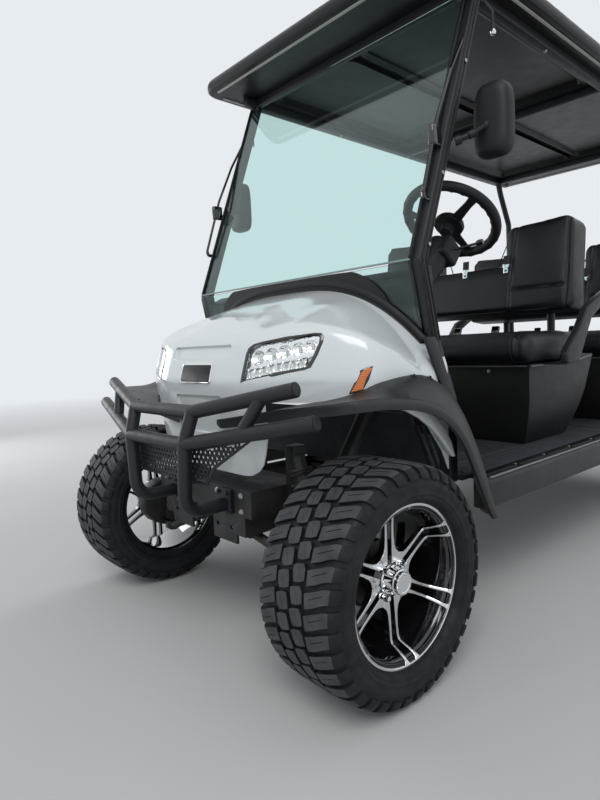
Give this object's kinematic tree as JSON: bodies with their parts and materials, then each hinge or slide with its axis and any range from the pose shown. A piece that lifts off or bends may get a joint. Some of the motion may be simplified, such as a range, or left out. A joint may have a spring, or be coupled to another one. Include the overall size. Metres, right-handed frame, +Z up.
{
  "type": "golf cart",
  "caption": "Lifted electric golf cart with two forward-facing bench seats, roof, windshield, brush guard, steered front wheels and a rear cargo tray.",
  "frame": {"origin": "on the ground under the middle of the cart's box", "axes": "+Z up, the cart faces -Y, and its left side is +X"},
  "size_m": [1.372, 3.2176, 1.958],
  "materials": {
    "body_white": "glossy moulded body panel",
    "body_black": "satin black moulded trim",
    "roof_black": "satin black formed roof",
    "frame_black": "black powder coat",
    "chassis_black": "black chassis paint",
    "floor_mat": "ribbed black mat",
    "tinted_glass": "clear pane with a green tint",
    "dash_plastic": "grained black",
    "seat_shell": "black moulded seat shell",
    "seat_vinyl": "black vinyl",
    "grip_black": "soft black grip",
    "lamp_black": "black lamp housing under clear lens",
    "amber_lens": "amber lens",
    "red_lens": "red lens",
    "mirror_black": "black mirror housing",
    "battery": "plain battery block",
    "tyre_rubber": "black rubber",
    "wheel_alloy": "gloss black alloy with machined faces"
  },
  "bodies": {
    "chassis": {"frame": "chassis_black", "floor_pan": "floor_mat", "side_sills": "body_black", "front_cowl": "body_white", "headlights": "lamp_black", "marker_lights": "amber_lens", "nose_badge": "body_black", "windshield_trim": "body_black", "windshield_lower": "tinted_glass", "windshield_upper": "tinted_glass", "windshield_posts": "frame_black", "dashboard": "dash_plastic", "steering_column": "frame_black", "pedals": "frame_black", "brush_guard": "frame_black", "guard_mesh": "frame_black", "front_flares": "body_black", "rear_flares": "body_black", "rear_body": "body_white", "cargo_tray": "body_black", "tail_lights": "red_lens", "rear_bumper": "body_black", "roof": "roof_black", "roof_frame": "frame_black", "side_mirrors": "mirror_black", "front_suspension": "chassis_black", "rear_axle": "chassis_black", "power_pack": "battery", "seat_bases": "seat_shell", "seat_cushions": "seat_vinyl", "seat_backs": "seat_vinyl", "seat_frames": "frame_black"},
    "steering_wheel": {"steering_wheel": "grip_black"},
    "knuckle_left": {"knuckle_left": "chassis_black"},
    "knuckle_right": {"knuckle_right": "chassis_black"},
    "tie_rod": {"tie_rod": "chassis_black"},
    "wheel_front_left": {"tyre_front_left": "tyre_rubber", "rim_front_left": "wheel_alloy"},
    "wheel_front_right": {"tyre_front_right": "tyre_rubber", "rim_front_right": "wheel_alloy"},
    "wheel_rear_left": {"tyre_rear_left": "tyre_rubber", "rim_rear_left": "wheel_alloy"},
    "wheel_rear_right": {"tyre_rear_right": "tyre_rubber", "rim_rear_right": "wheel_alloy"}
  },
  "joints": [
    {"name": "steer_left", "type": "hinge", "parent": "chassis", "child": "knuckle_left", "pos_m": [0.46, -1.3, 0.292], "axis": [0, 0, 1], "range_deg": [-30, 30]},
    {"name": "steer_right", "type": "hinge", "parent": "chassis", "child": "knuckle_right", "pos_m": [-0.46, -1.3, 0.292], "axis": [0, 0, 1], "range_deg": [-30, 30]},
    {"name": "tie_rod_swing", "type": "hinge", "parent": "knuckle_left", "child": "tie_rod", "pos_m": [0.46, -1.182, 0.3], "axis": [0, 0, 1], "range_deg": [-30, 30]},
    {"name": "steering_wheel_turn", "type": "hinge", "parent": "chassis", "child": "steering_wheel", "pos_m": [0.28, -0.52, 1.3], "axis": [0, 0.6018, 0.7986], "range_deg": [-450, 450]},
    {"name": "roll_front_left", "type": "hinge", "parent": "knuckle_left", "child": "wheel_front_left", "pos_m": [0.559, -1.3, 0.292], "axis": [1, 0, 0], "continuous": true},
    {"name": "roll_front_right", "type": "hinge", "parent": "knuckle_right", "child": "wheel_front_right", "pos_m": [-0.559, -1.3, 0.292], "axis": [1, 0, 0], "continuous": true},
    {"name": "roll_rear_left", "type": "hinge", "parent": "chassis", "child": "wheel_rear_left", "pos_m": [0.559, 1.204, 0.292], "axis": [1, 0, 0], "continuous": true},
    {"name": "roll_rear_right", "type": "hinge", "parent": "chassis", "child": "wheel_rear_right", "pos_m": [-0.559, 1.204, 0.292], "axis": [1, 0, 0], "continuous": true}
  ],
  "couplings": [
    {"joint": "steer_right", "follows": "steer_left", "ratio": 1},
    {"joint": "tie_rod_swing", "follows": "steer_left", "ratio": -1},
    {"joint": "steering_wheel_turn", "follows": "steer_left", "ratio": 15}
  ]
}
